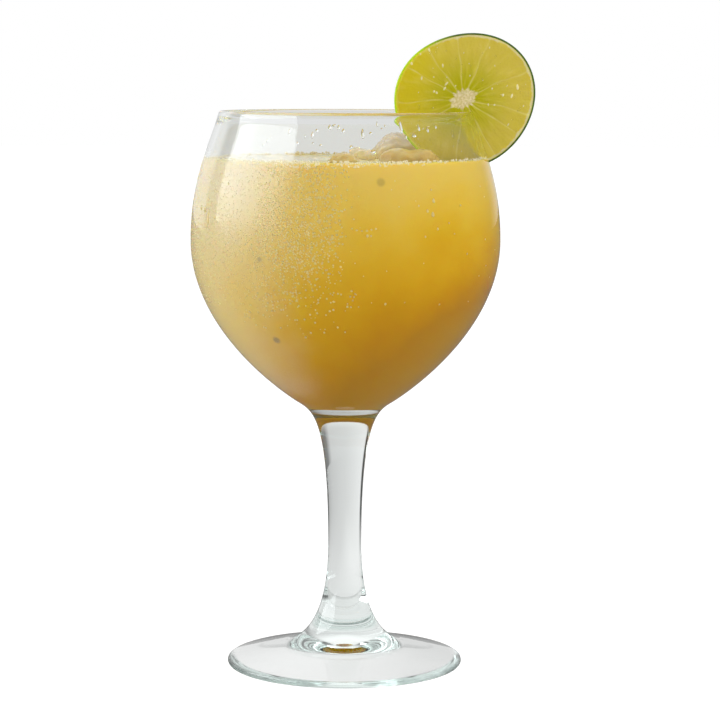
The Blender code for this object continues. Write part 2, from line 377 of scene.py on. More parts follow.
def stem_and_foot():
    under = Vector((UNDERSIDE_RADIUS, UNDERSIDE_HEIGHT))
    waist = Vector((STEM_RADIUS, STEM_WAIST_HEIGHT))
    instep = Vector((INSTEP_RADIUS, INSTEP_HEIGHT))
    slope = Vector((math.cos(UNDERSIDE_SLOPE), math.sin(UNDERSIDE_SLOPE)))
    instep_handle = instep + INSTEP_PULL * Vector((-math.cos(INSTEP_SLOPE), math.sin(INSTEP_SLOPE)))
    points = bend(under, under - STEM_TOP_PULL * slope, waist + Vector((0, WAIST_PULL_UP)), waist, STEM_STEPS)
    points += bend(waist, waist - Vector((0, WAIST_PULL_DOWN)), instep_handle, instep, INSTEP_STEPS)
    edge_radius = FOOT_EDGE / 2
    edge_centre = Vector((FOOT_RADIUS - edge_radius, edge_radius))
    for run in range(FOOT_EDGE_STEPS + 1):
        turn = math.radians(FOOT_EDGE_START - FOOT_EDGE_TURN * run / FOOT_EDGE_STEPS)
        points.append(edge_centre + edge_radius * Vector((math.cos(turn), math.sin(turn))))
    for run in range(FOOT_HOLLOW_STEPS + 1):
        outwards = 1 - run / FOOT_HOLLOW_STEPS
        rise = FOOT_HOLLOW_DEPTH * (1 - outwards**FOOT_HOLLOW_CURVE)
        points.append(Vector((FOOT_HOLLOW_RADIUS * outwards, rise)))
    return points


def turned(name, outline, around_steps):
    mesh = bpy.data.meshes.new(name)
    shape = bmesh.new()
    rows = []
    for point in outline:
        row = []
        for step in range(1 if point.x < ON_AXIS else around_steps):
            angle = math.tau * step / around_steps
            row.append(shape.verts.new((point.x * math.cos(angle), point.x * math.sin(angle), point.y)))
        rows.append(row)
    for upper, lower in zip(rows, rows[1:]):
        for step in range(around_steps):
            after = (step + 1) % around_steps
            if len(upper) == 1:
                shape.faces.new((upper[0], lower[step], lower[after]))
            elif len(lower) == 1:
                shape.faces.new((upper[step], lower[0], upper[after]))
            else:
                shape.faces.new((upper[step], lower[step], lower[after], upper[after]))
    for face in shape.faces:
        face.smooth = True
    shape.to_mesh(mesh)
    shape.free()
    thing = bpy.data.objects.new(name, mesh)
    thing.location = AXIS
    bpy.context.scene.collection.objects.link(thing)
    return thing


goblet_outline = list(reversed(hollow_side(0.0))) + rim_round(0.0) + bowl_outside() + stem_and_foot()
goblet = turned("goblet_glass", goblet_outline, GOBLET_AROUND)

# The mist of fine condensation on the bowl. Towards the left it blurs what the glass mirrors, and down the
# left side it is also a thin white haze. A side is the cosine of the turn round the axis from +X.
MIST_LOW = (0.104, 0.140)
MIST_HIGH = (0.1765, 0.1815)
MIST_LEFT = (-0.86, -0.74)
MIST_RIGHT = (-0.05, -0.35)
MIST_FINENESS = 45.0
MIST_WANDER = 0.12
MIST_ROUGHNESS = 0.26
HAZE_LOW = (0.094, 0.100)
HAZE_SIDE = (-0.15, -0.95)
HAZE_WHITE = 0.17
GRAIN_SPAN = (0.25, 0.75)
GLASS_TINT = (0.55, 0.86, 0.78, 1.0)
GLASS_TINT_DENSITY = 5.0
GLASS_SHADE = (0.94, 0.96, 0.95, 1.0)

# The bowl doesn't mirror the stem and the foot, which would show in it too brightly: a mirrored ray that has
# gone farther than this in air passes through them. The bowl turns into the stem between the two heights.
MIRRORED_FARTHER_THAN = 0.015
BOWL_ENDS = (0.085, 0.092)


def combined(nodes, links, operation, first, second):
    both = nodes.new("ShaderNodeMath")
    both.operation = operation
    for value, socket in ((first, both.inputs[0]), (second, both.inputs[1])):
        if isinstance(value, float):
            socket.default_value = value
        else:
            links.new(value, socket)
    return both.outputs["Value"]


def place_from_axis(nodes, links):
    place = nodes.new("ShaderNodeVectorMath")
    place.operation = "SUBTRACT"
    place.inputs[1].default_value = AXIS
    links.new(nodes.new("ShaderNodeNewGeometry").outputs["Position"], place.inputs[0])
    return place.outputs["Vector"]


def side_of_axis(nodes, links, place):
    flat = nodes.new("ShaderNodeVectorMath")
    flat.operation = "MULTIPLY"
    flat.inputs[1].default_value = (1.0, 1.0, 0.0)
    links.new(place, flat.inputs[0])
    outwards = nodes.new("ShaderNodeVectorMath")
    outwards.operation = "NORMALIZE"
    links.new(flat.outputs["Vector"], outwards.inputs[0])
    return part_along(nodes, links, outwards.outputs["Vector"], "X")


def grain(nodes, links, place, fineness, detail):
    specks = nodes.new("ShaderNodeTexNoise")
    specks.inputs["Scale"].default_value = fineness
    specks.inputs["Detail"].default_value = detail
    links.new(place, specks.inputs["Vector"])
    return specks.outputs["Fac"]


def lets_lamps_through(material, tint, unmirrored=None):
    # Rays from the lamps pass straight through, and so do far mirrored ones where unmirrored is 1
    nodes, links = material.node_tree.nodes, material.node_tree.links
    way = nodes.new("ShaderNodeLightPath")
    passes = combined(nodes, links, "MAXIMUM", way.outputs["Is Shadow Ray"], way.outputs["Is Diffuse Ray"])
    if unmirrored:
        in_air = combined(nodes, links, "LESS_THAN", way.outputs["Transmission Depth"], 0.5)
        far = combined(nodes, links, "GREATER_THAN", way.outputs["Ray Length"], MIRRORED_FARTHER_THAN)
        mirrored = combined(nodes, links, "MULTIPLY", way.outputs["Is Glossy Ray"], in_air)
        mirrored = combined(nodes, links, "MULTIPLY", mirrored, far)
        mirrored = combined(nodes, links, "MULTIPLY", mirrored, unmirrored)
        passes = combined(nodes, links, "MAXIMUM", passes, mirrored)
    clear = nodes.new("ShaderNodeBsdfTransparent")
    clear.inputs["Color"].default_value = tint
    show_either(nodes, links, passes, nodes["Principled BSDF"].outputs["BSDF"], clear.outputs["BSDF"])


glass, glass_nodes, glass_links = new_finish("clear_pressed_glass", {
    "Base Color": (0.985, 0.995, 0.988, 1.0),
    "Transmission Weight": 1.0,
    "IOR": 1.5,
})
glass_face = glass_nodes["Principled BSDF"]
glass_place = place_from_axis(glass_nodes, glass_links)
glass_level = part_along(glass_nodes, glass_links, glass_place, "Z")
mist_grain = grain(glass_nodes, glass_links, glass_place, MIST_FINENESS, 3.0)
drift = ramp_between(glass_nodes, glass_links, mist_grain, *GRAIN_SPAN, -MIST_WANDER, MIST_WANDER)
plain_side = side_of_axis(glass_nodes, glass_links, glass_place)
glass_side = combined(glass_nodes, glass_links, "ADD", plain_side, drift)


def on_bowl_where(*limits):
    product = None
    for value, span, low, high in limits:
        edge = ramp_between(glass_nodes, glass_links, value, *span, low, high)
        product = edge if product is None else combined(glass_nodes, glass_links, "MULTIPLY", product, edge)
    return product


misted = (
    (glass_level, MIST_LOW, 0.0, 1.0),
    (glass_level, MIST_HIGH, 1.0, 0.0),
    (glass_side, MIST_LEFT, 0.0, 1.0),
    (glass_side, MIST_RIGHT, 0.0, MIST_ROUGHNESS),
)
hazy = (
    (glass_level, HAZE_LOW, 0.0, 1.0),
    (glass_level, MIST_HIGH, 1.0, 0.0),
    (glass_side, HAZE_SIDE, 0.0, HAZE_WHITE),
)
glass_links.new(on_bowl_where(*misted), glass_face.inputs["Roughness"])
clear_share = combined(glass_nodes, glass_links, "SUBTRACT", 1.0, on_bowl_where(*hazy))
glass_links.new(clear_share, glass_face.inputs["Transmission Weight"])
glass_depth = glass_nodes.new("ShaderNodeVolumeAbsorption")
glass_depth.inputs["Color"].default_value = GLASS_TINT
glass_depth.inputs["Density"].default_value = GLASS_TINT_DENSITY
glass_links.new(glass_depth.outputs["Volume"], glass_nodes["Material Output"].inputs["Volume"])
under_bowl = ramp_between(glass_nodes, glass_links, glass_level, *BOWL_ENDS, 1.0, 0.0)
lets_lamps_through(glass, GLASS_SHADE, under_bowl)
goblet.data.materials.append(glass)
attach(goblet, "root")
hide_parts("goblet")


# The lemonade. A cloudy, half-frozen drink that reaches just into the wall of the glass. It is paler near the
# top and darker amber lower down, partly its own colour and partly painted shade, and it is painted paler
# towards the left as painted light from the side, so that it is darkest at the bottom right. Its upper left
# side is whitened, as it is seen through frosted glass there. Its surface is uneven slush with a low
# meniscus.
DRINK_INTO_WALL = 0.00025
DRINK_AROUND = 180
SURFACE_RINGS = 90
SURFACE_LAP = 0.0001
SURFACE_DEPTH = 0.003
AT_LEVEL = 1e-5
SLUSH_RELIEF = 0.0005
SLUSH_CALM_EDGE = 0.004
SLUSH_WAVES = (
    # Fineness and strength of each layer of waves
    (150, 1.0), (380, 0.6), (800, 0.4),
)
MENISCUS_RISE = 0.0005
MENISCUS_WIDTH = 0.0012
DRINK_COLOURS = (
    # Height, and the drink's colour there, darker lower down: partly its own colour, partly painted shade
    (0.085, (0.45, 0.23, 0.012)),
    (0.100, (0.45, 0.21, 0.006)),
    (0.112, (0.53, 0.25, 0.002)),
    (0.122, (0.58, 0.30, 0.002)),
    (0.132, (0.63, 0.35, 0.006)),
    (0.142, (0.66, 0.40, 0.016)),
    (0.152, (0.70, 0.46, 0.045)),
    (0.162, (0.72, 0.50, 0.085)),
    (0.185, (0.74, 0.53, 0.110)),
)
SLUSH_GRAIN = 900.0
DRINK_CLOUDS = 38.0
DRINK_CLOUD_LIFT = 0.005
# Painted light from the left: the farther left a spot is, the higher up these colours it takes, by a slope
# that goes from low to high between these heights
DRINK_PAINTED_LIGHT_RISE = (0.115, 0.155)
DRINK_PAINTED_LIGHT_SLOPE_LOW = 0.90
DRINK_PAINTED_LIGHT_SLOPE_HIGH = 0.30
FROST_SIDE = (-0.27, -0.72)
FROST_RISE = (0.134, 0.178)
FROST_WHITE = 0.38
FROST_COLOUR = (0.88, 0.87, 0.84, 1.0)
SPECK_COLOUR = (0.10, 0.07, 0.035, 1.0)
SPECKS = (
    # Place from the axis, radius and strength of each dark speck
    (Vector((-0.0227, -0.0344, 0.1183)), 0.0017, 0.60),
    (Vector((-0.0280, -0.0439, 0.1459)), 0.0010, 0.45),
    (Vector((0.0117, -0.0481, 0.1716)), 0.0016, 0.30),
)
REFRACTION_OF_GLASS = 1.5
REFRACTION_OF_DRINK = 1.34

drink_side = [point for point in hollow_side(-DRINK_INTO_WALL) if point.y < DRINK_LEVEL]
surface_radius = drink_side[0].x + SURFACE_LAP
surface_reaches = [surface_radius * ring / SURFACE_RINGS for ring in range(SURFACE_RINGS)]
surface_rings = [Vector((reach, DRINK_LEVEL)) for reach in surface_reaches]
lemonade = turned("lemonade_fill", surface_rings + drink_side, DRINK_AROUND)
for corner in lemonade.data.vertices:
    from_wall = surface_radius - math.hypot(corner.co.x, corner.co.y)
    if corner.co.z > DRINK_LEVEL - AT_LEVEL:
        wave = sum(strength * noise.noise(corner.co * fineness) for fineness, strength in SLUSH_WAVES)
        meniscus = MENISCUS_RISE * math.exp(-from_wall / MENISCUS_WIDTH)
        calm = min(1.0, from_wall / SLUSH_CALM_EDGE)
        corner.co.z += SLUSH_RELIEF * wave * calm + meniscus - MENISCUS_RISE


def bumped(nodes, links, height, strength, distance):
    bump = nodes.new("ShaderNodeBump")
    bump.inputs["Strength"].default_value = strength
    bump.inputs["Distance"].default_value = distance
    links.new(height, bump.inputs["Height"])
    links.new(bump.outputs["Normal"], nodes["Principled BSDF"].inputs["Normal"])


def lemonade_finish(name, boundary, gloss_roughness):
    # The boundary is the drink's refractive index over that of what lies on it, glass or air
    finish, nodes, links = new_finish(name, {
        "Roughness": 1.0,
        "Specular IOR Level": 0.0,
        "Subsurface Weight": 1.0,
        "Subsurface Radius": (1.0, 0.7, 0.25),
        "Subsurface Scale": 0.005,
    })
    face = nodes["Principled BSDF"]
    place = place_from_axis(nodes, links)
    rise = part_along(nodes, links, place, "Z")
    clouds = grain(nodes, links, place, DRINK_CLOUDS, 2.0)
    cloud_lift = ramp_between(nodes, links, clouds, *GRAIN_SPAN, -DRINK_CLOUD_LIFT, DRINK_CLOUD_LIFT)
    level = combined(nodes, links, "ADD", rise, cloud_lift)
    # Painted light: the colour is shifted paler towards the left and darker towards the right
    slope = ramp_between(nodes, links, level, *DRINK_PAINTED_LIGHT_RISE, DRINK_PAINTED_LIGHT_SLOPE_LOW, DRINK_PAINTED_LIGHT_SLOPE_HIGH)
    painted_light_slant = combined(nodes, links, "MULTIPLY", part_along(nodes, links, place, "X"), slope)
    level = combined(nodes, links, "SUBTRACT", level, painted_light_slant)
    low, high = DRINK_COLOURS[0][0], DRINK_COLOURS[-1][0]
    share = nodes.new("ShaderNodeMapRange")
    share.inputs["From Min"].default_value = low
    share.inputs["From Max"].default_value = high
    links.new(level, share.inputs["Value"])
    stops = [((height - low) / (high - low), colour) for height, colour in DRINK_COLOURS]
    shade = colour_steps(nodes, links, share.outputs["Result"], stops)
    for speck_place, radius, strength in SPECKS:
        away = nodes.new("ShaderNodeVectorMath")
        away.operation = "DISTANCE"
        away.inputs[1].default_value = speck_place
        links.new(place, away.inputs[0])
        speck = ramp_between(nodes, links, away.outputs["Value"], 0.5 * radius, 1.2 * radius, strength, 0.0)
        shade = tinted(nodes, links, shade, SPECK_COLOUR, speck)
    frost_side = combined(nodes, links, "ADD", side_of_axis(nodes, links, place), cloud_lift)
    frost_side = ramp_between(nodes, links, frost_side, *FROST_SIDE, 0.0, FROST_WHITE)
    frost_rise = ramp_between(nodes, links, rise, *FROST_RISE)
    frost = combined(nodes, links, "MULTIPLY", frost_side, frost_rise)
    links.new(tinted(nodes, links, shade, FROST_COLOUR, frost), face.inputs["Base Color"])
    bumped(nodes, links, grain(nodes, links, place, SLUSH_GRAIN, 2.0), 0.25, 0.0004)
    wet = nodes.new("ShaderNodeBsdfGlossy")
    wet.inputs["Roughness"].default_value = gloss_roughness
    mirror_share = nodes.new("ShaderNodeFresnel")
    mirror_share.inputs["IOR"].default_value = boundary
    show_either(nodes, links, mirror_share.outputs["Fac"], face.outputs["BSDF"], wet.outputs["BSDF"])
    return finish


on_glass = lemonade_finish("lemonade_on_glass", REFRACTION_OF_DRINK / REFRACTION_OF_GLASS, 0.14)
on_air = lemonade_finish("lemonade_surface", REFRACTION_OF_DRINK, 0.20)
lemonade.data.materials.append(on_glass)
lemonade.data.materials.append(on_air)
for face in lemonade.data.polygons:
    if face.center.z > DRINK_LEVEL - SURFACE_DEPTH and face.normal.z > 0.5:
        face.material_index = 1
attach(lemonade, "root")
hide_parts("lemonade")


# The ice. Half-melted lumps of ice that float at the top of the drink and stand out of it, pale above and
# stained by the lemonade where they are wet. Each keeps the block's form, with melted hollows and finer pits.
ICE_SQUARENESS = 0.72
ICE_UNEVENNESS = 0.05
ICE_HOLLOWS = 0.0022
ICE_HOLLOW_FINENESS = 120
ICE_PITS = 0.0010
ICE_PIT_FINENESS = 260
ICE_GRIT_FINENESS = 560
ICE_CLOUDS = 260.0
ICE_WATERLINE = 0.0016
ICE_WET_TO = -0.0005
ICE_PALE_FROM = 0.0055
ICE_SHADE = (0.9, 0.85, 0.7, 1.0)
ICE_LUMPS = {
    # Centre from the axis, half sizes, turn and tilt in degrees, and the phase of its unevenness
    "ice_large": ((0.0210, 0.0150, 0.1755), (0.0135, 0.0098, 0.0115), 12, 8, 1),
    "ice_front": ((0.0220, -0.0165, 0.1750), (0.0115, 0.0088, 0.0070), -18, -7, 2),
    "ice_clear": ((0.0052, -0.0062, 0.1765), (0.0056, 0.0054, 0.0054), 30, 14, 3),
    "ice_small": ((-0.0012, -0.0280, 0.1762), (0.0062, 0.0052, 0.0045), -8, 5, 4),
}


def ice_finish(name, clearness, wet, pale):
    finish, nodes, links = new_finish(name, {
        "Roughness": 0.12,
        "IOR": 1.31,
        "Transmission Weight": clearness,
        "Subsurface Weight": 1.0,
        "Subsurface Radius": (1.0, 0.85, 0.6),
        "Subsurface Scale": 0.004,
    })
    place = place_from_axis(nodes, links)
    cloud = grain(nodes, links, place, ICE_CLOUDS, 4.0)
    shift = ramp_between(nodes, links, cloud, 0.3, 0.7, -ICE_WATERLINE, ICE_WATERLINE)
    level = combined(nodes, links, "ADD", part_along(nodes, links, place, "Z"), shift)
    dryness = ramp_between(nodes, links, level, DRINK_LEVEL + ICE_WET_TO, DRINK_LEVEL + ICE_PALE_FROM)
    colour = tinted(nodes, links, wet, pale, dryness)
    links.new(colour, nodes["Principled BSDF"].inputs["Base Color"])
    bumped(nodes, links, cloud, 0.5, 0.0005)
    lets_lamps_through(finish, ICE_SHADE)
    return finish


cloudy_ice = ice_finish("cloudy_ice", 0.30, (0.76, 0.58, 0.24, 1.0), (0.80, 0.70, 0.52, 1.0))
clear_ice = ice_finish("clear_ice", 0.45, (0.82, 0.68, 0.36, 1.0), (0.86, 0.79, 0.66, 1.0))
stained_ice = ice_finish("stained_ice", 0.25, (0.68, 0.47, 0.12, 1.0), (0.70, 0.54, 0.20, 1.0))
finish_of_ice = {
    "ice_large": cloudy_ice,
    "ice_front": stained_ice,
    "ice_clear": clear_ice,
    "ice_small": stained_ice,
}
for name, (centre, half_sizes, turn, tilt, phase) in ICE_LUMPS.items():
    lump_shape = bmesh.new()
    bmesh.ops.create_icosphere(lump_shape, subdivisions=5, radius=1.0)
    for corner in lump_shape.verts:
        way = corner.co.normalized()
        block = Vector([math.copysign(abs(part) ** ICE_SQUARENESS, part) for part in way])
        wave = math.sin(3 * way.x + phase) * math.cos(2 * way.y - phase) + math.sin(3 * way.z + 2 * phase)
        corner.co = block * Vector(half_sizes) * (1 + ICE_UNEVENNESS * wave)
        start = Vector((phase, 0, 0))
        hollow = 0.5 + noise.noise(corner.co * ICE_HOLLOW_FINENESS + start)
        pit = abs(noise.noise(corner.co * ICE_PIT_FINENESS + start))
        pit += 0.5 * abs(noise.noise(corner.co * ICE_GRIT_FINENESS))
        corner.co -= way * (ICE_HOLLOWS * hollow * hollow + ICE_PITS * pit)
    for face in lump_shape.faces:
        face.smooth = True
    lump_mesh = bpy.data.meshes.new(name + "_lump")
    lump_shape.to_mesh(lump_mesh)
    lump_shape.free()
    lump = bpy.data.objects.new(name + "_lump", lump_mesh)
    lump.location = AXIS + Vector(centre)
    lump.rotation_euler = (math.radians(tilt), 0.0, math.radians(turn))
    bpy.context.scene.collection.objects.link(lump)
    lump_mesh.materials.append(finish_of_ice[name])
    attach(lump, "root")
    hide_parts(name)


# The froth. Small bubbles that cling where the surface of the drink meets the glass, in a broken ring, with a
# loose patch of them at the front left. Most of them are in the top row, and fewest at the right.
FROTH_SEED = 7
FROTH_TURNS = 400
FROTH_ROWS = 5
FROTH_TOP = 0.0001
FROTH_ROW_DROP = 0.00050
FROTH_UNEVENNESS = 0.0003
FROTH_CROWD = 0.80
FROTH_GAPS = 0.9
FROTH_THINNING = 0.16
FROTH_THINNING_RIGHT = 0.5
FROTH_RADII = (0.00020, 0.00042)
FROTH_EXTRA_RADIUS = 0.00025
FROTH_PATCH = 90
FROTH_PATCH_RADII = (0.00018, 0.00045)
FROTH_PATCH_SIDE = (12, 42)
FROTH_PATCH_REACH = 0.012
FROTH_PATCH_DEPTH = 0.0006
WALL_START = HOLLOW_BOTTOM + 0.002


def add_ball(corners, faces, centre, radius, sides=8, rings=5):
    first = len(corners)
    corners.append(centre + Vector((0, 0, radius)))
    for ring in range(1, rings):
        tilt = math.pi * ring / rings
        flat, rise = radius * math.sin(tilt), radius * math.cos(tilt)
        for step in range(sides):
            turn = math.tau * step / sides
            corners.append(centre + Vector((flat * math.cos(turn), flat * math.sin(turn), rise)))
    corners.append(centre - Vector((0, 0, radius)))
    last = len(corners) - 1
    for step in range(sides):
        after = (step + 1) % sides
        faces.append((first, first + 1 + step, first + 1 + after))
        for ring in range(rings - 2):
            row = first + 1 + ring * sides
            faces.append((row + step, row + sides + step, row + sides + after, row + after))
        row = first + 1 + (rings - 2) * sides
        faces.append((row + step, last, row + after))


def mesh_piece(name, corners, faces, material):
    mesh = bpy.data.meshes.new(name)
    mesh.from_pydata(corners, [], faces)
    mesh.shade_smooth()
    mesh.materials.append(material)
    thing = bpy.data.objects.new(name, mesh)
    thing.location = AXIS
    bpy.context.scene.collection.objects.link(thing)
    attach(thing, "root")
    return thing


def radius_at(side, heights, level):
    above = min(max(bisect.bisect_left(heights, level), 1), len(heights) - 1)
    low, high = side[above - 1], side[above]
    share = (level - low.y) / (high.y - low.y)
    return low.x + share * (high.x - low.x)


def bead_finish(name, colour, roughness, refraction, clearness, shade):
    finish = new_finish(name, {
        "Base Color": colour,
        "Roughness": roughness,
        "IOR": refraction,
        "Transmission Weight": clearness,
    })[0]
    lets_lamps_through(finish, shade)
    return finish


drink_wall = [point for point in reversed(hollow_side(-DRINK_INTO_WALL)) if point.y > WALL_START]
drink_heights = [point.y for point in drink_wall]
froth_rule = random.Random(FROTH_SEED)
froth_corners, froth_faces = [], []
for count in range(FROTH_TURNS * FROTH_ROWS):
    row = count % FROTH_ROWS
    turn = math.tau * (count + froth_rule.uniform(-0.9, 0.9)) / FROTH_TURNS / FROTH_ROWS
    spot = Vector((math.cos(turn), math.sin(turn), 0.0))
    thinning = (FROTH_THINNING + FROTH_THINNING_RIGHT * max(0.0, spot.x)) * row
    crowd = FROTH_CROWD + FROTH_GAPS * noise.noise(spot * 5.0) - thinning
    if froth_rule.random() > crowd:
        continue
    size = froth_rule.uniform(*FROTH_RADII) + FROTH_EXTRA_RADIUS * froth_rule.random() ** 3
    level = DRINK_LEVEL + FROTH_TOP - FROTH_ROW_DROP * row + FROTH_UNEVENNESS * froth_rule.uniform(-1.0, 1.0)
    centre = spot * (radius_at(drink_wall, drink_heights, level) - 0.55 * size) + Vector((0, 0, level))
    add_ball(froth_corners, froth_faces, centre, size)
for count in range(FROTH_PATCH):
    turn = math.radians(-90 - froth_rule.uniform(*FROTH_PATCH_SIDE))
    size = froth_rule.uniform(*FROTH_PATCH_RADII)
    reach = surface_radius - DRINK_INTO_WALL - size - FROTH_PATCH_REACH * froth_rule.random() ** 2
    level = DRINK_LEVEL - FROTH_PATCH_DEPTH + 0.7 * size
    centre = Vector((reach * math.cos(turn), reach * math.sin(turn), level))
    add_ball(froth_corners, froth_faces, centre, size)

bubble_film = bead_finish("bubble_film", (0.92, 0.82, 0.56, 1.0), 0.08, 1.2, 0.35, (0.95, 0.92, 0.85, 1.0))
froth = mesh_piece("froth_ring", froth_corners, froth_faces, bubble_film)


# The wheel of lime. A fresh slice across the fruit, slit from its edge nearly to the core and pushed down on
# the rim: wet flesh in uneven segments with thin pale membranes, a ragged core, a thin white ring and the
# green rind.
LIME_RADIUS = 0.0237
LIME_THICKNESS = 0.0052
LIME_CENTRE = Vector((0.0411, 0.0, 0.1982))
LIME_OVAL = 0.038
LIME_OVAL_ANGLE = math.radians(26)
LIME_BULGE = 0.018
LIME_BULGE_ANGLE = math.radians(38)
LIME_EDGE_ROUND = 0.0005
LIME_EDGE_STEPS = 4
LIME_RIND_ROW = 0.0013
LIME_SLIT_GAP = 0.0003
LIME_SLIT_BOTTOM = 0.165
LIME_AROUND = 480
LIME_FACE_RINGS = 64
LIME_RING_CROWDING = 1.25
LIME_MEMBRANES = (-177, -148, -95, -60, -33, -12, 24, 67, 96, 127, 151)
MEMBRANE_SWAY = 0.06
MEMBRANE_THICKNESS = 0.00030
MEMBRANE_UNEVENNESS = 0.00014
LIME_CORE_SHIFT = Vector((-0.0006, 0.0003))
LIME_CORE_LONG = 0.0044
LIME_CORE_SHORT = 0.0027
LIME_CORE_TURN = math.radians(27)
CORE_RAGGEDNESS = 0.0007
CORE_POINTS = 0.0011
CORE_POINT_WIDTH = 0.13
PITH_DEPTH = 0.0013
PITH_BLUR = 0.0003
PITH_FORK = 0.0004
PITH_FORK_WIDTH = 0.0009
RIND_DEPTH = 0.0007
FLESH_RELIEF = 0.00025


def lime_reach(angle):
    oval = LIME_OVAL * math.cos(2 * (angle - LIME_OVAL_ANGLE))
    bulge = LIME_BULGE * math.cos(3 * (angle - LIME_BULGE_ANGLE))
    return LIME_RADIUS * (1 + oval + bulge)


def step_up(value, start, end):
    share = min(1.0, max(0.0, (value - start) / (end - start)))
    return share * share * (3 - 2 * share)


def lime_zones(x, z):
    # How far a spot of the cut face, given from the wheel's centre, belongs to each part of the fruit. What
    # multiplies a place inside noise is the fineness of that unevenness.
    reach = math.hypot(x, z)
    from_edge = lime_reach(math.atan2(z, x)) - reach
    core_x, core_z = x - LIME_CORE_SHIFT.x, z - LIME_CORE_SHIFT.y
    out, angle = math.hypot(core_x, core_z), math.atan2(core_z, core_x)
    spot = Vector((math.cos(angle), math.sin(angle), 0.0))
    sway = MEMBRANE_SWAY * noise.noise(Vector((x, z, 0.0)) * 130)
    turns = [angle + sway - math.radians(wall) for wall in LIME_MEMBRANES]
    nearest = min(abs((turn + math.pi) % math.tau - math.pi) for turn in turns)
    apart = nearest * out
    thickness = MEMBRANE_THICKNESS + MEMBRANE_UNEVENNESS * noise.noise(Vector((x, z, 0.004)) * 300)
    membrane = math.exp(-((apart / thickness) ** 2)) * (0.75 + 0.5 * noise.noise(Vector((x, z, 0.02)) * 240))
    turn = angle - LIME_CORE_TURN
    oval = LIME_CORE_LONG * LIME_CORE_SHORT / math.hypot(
        LIME_CORE_SHORT * math.cos(turn), LIME_CORE_LONG * math.sin(turn)
    )
    ragged = CORE_RAGGEDNESS * noise.noise(spot * 7.0)
    ragged += CORE_POINTS * math.exp(-((nearest / CORE_POINT_WIDTH) ** 2))
    core = 1.0 - step_up(out, oval + ragged - 0.00045, oval + ragged + 0.00015)
    ring_noise = 0.0004 * noise.noise(spot * 9.0) + 0.0002 * noise.noise(spot * 40.0)
    fork = PITH_FORK * math.exp(-((apart / PITH_FORK_WIDTH) ** 2))
    pith_end = PITH_DEPTH + ring_noise + fork
    pith = 1.0 - step_up(from_edge, pith_end - PITH_BLUR, pith_end + PITH_BLUR)
    rind = 1.0 - step_up(from_edge, RIND_DEPTH - 0.00025, RIND_DEPTH + 0.00015)
    streak = noise.noise(spot * 7 + Vector((0, 0, out * 190)))
    streak += 0.5 * noise.noise(spot * 22 + Vector((0, 0, out * 420)))
    return {
        "membrane": max(0.0, membrane) * (1 - core),
        "core": core,
        "pith": pith * (1 - rind),
        "rind": rind,
        "outward": step_up(out, 0.0035, 0.0185),
        "vesicle": 0.5 + 0.45 * streak,
    }


def lime_drop(x, z):
    zones = lime_zones(x, z)
    flesh = (1 - zones["core"]) * (1 - zones["pith"]) * (1 - zones["rind"])
    raised = flesh * (0.75 * (1 - 0.8 * min(1.0, zones["membrane"])) + 0.5 * (zones["vesicle"] - 0.5))
    raised += 0.8 * zones["rind"] + 0.55 * zones["pith"] + 0.45 * zones["core"]
    return FLESH_RELIEF * (1 - min(1.0, max(0.0, raised)))


# Each row of the wheel's surface, from the middle of its front face over the rounded edge to the middle of
# its back: the share of the flat face's reach and of the edge's roundness, and how far from the middle plane.
lime_half = LIME_THICKNESS / 2
lime_rows = []
for ring in range(1, LIME_FACE_RINGS + 1):
    share = ring / LIME_FACE_RINGS
    lime_rows.append((1.0 - (1.0 - share) ** LIME_RING_CROWDING, 0.0, lime_half))
for step in range(1, LIME_EDGE_STEPS + 1):
    edge_turn = math.radians(90 * step / LIME_EDGE_STEPS)
    lime_rows.append((1.0, math.sin(edge_turn), lime_half - LIME_EDGE_ROUND * (1 - math.cos(edge_turn))))
lime_rows += [(1.0, 1.0, LIME_RIND_ROW), (1.0, 1.0, 0.0)]
lime_rows += [(share, bulge, -level) for share, bulge, level in reversed(lime_rows[:-1])]
lime_corners = [(0.0, -lime_half + lime_drop(0.0, 0.0), 0.0)]
for share, bulge, level in lime_rows:
    for step in range(LIME_AROUND):
        angle = math.tau * step / LIME_AROUND
        edge = lime_reach(angle)
        reach = share * (edge - LIME_EDGE_ROUND) + bulge * LIME_EDGE_ROUND
        x, z = reach * math.cos(angle), reach * math.sin(angle)
        dip = lime_drop(x, z) if abs(level) == lime_half else 0.0
        dip *= step_up(edge - reach, LIME_EDGE_ROUND, 2 * LIME_EDGE_ROUND)
        lime_corners.append((x, -math.copysign(abs(level) - dip, level) if level else 0.0, z))
lime_corners.append((0.0, lime_half - lime_drop(0.0, 0.0), 0.0))
lime_faces = []
last_row = 1 + (len(lime_rows) - 1) * LIME_AROUND
for step in range(LIME_AROUND):
    after = (step + 1) % LIME_AROUND
    lime_faces.append((0, 1 + step, 1 + after))
    for row in range(len(lime_rows) - 1):
        near, far = 1 + row * LIME_AROUND, 1 + (row + 1) * LIME_AROUND
        lime_faces.append((near + step, far + step, far + after, near + after))
    lime_faces.append((last_row + step, len(lime_corners) - 1, last_row + after))

lime_paint, lime_nodes, lime_links = new_finish("lime_flesh_and_rind", {
    "IOR": 1.36,
    "Subsurface Weight": 1.0,
    "Subsurface Radius": (1.0, 0.9, 0.25),
    "Subsurface Scale": 0.003,
})
lime_spots = [Vector(corner) + LIME_CENTRE for corner in lime_corners]
lime_wheel = mesh_piece("lime_wheel", lime_spots, lime_faces, lime_paint)


def slit_side(clearance, with_wall):
    side = shifted_inwards(bowl_outside(), clearance, with_wall)
    return [point for point in side if point.y > LIME_SLIT_BOTTOM]


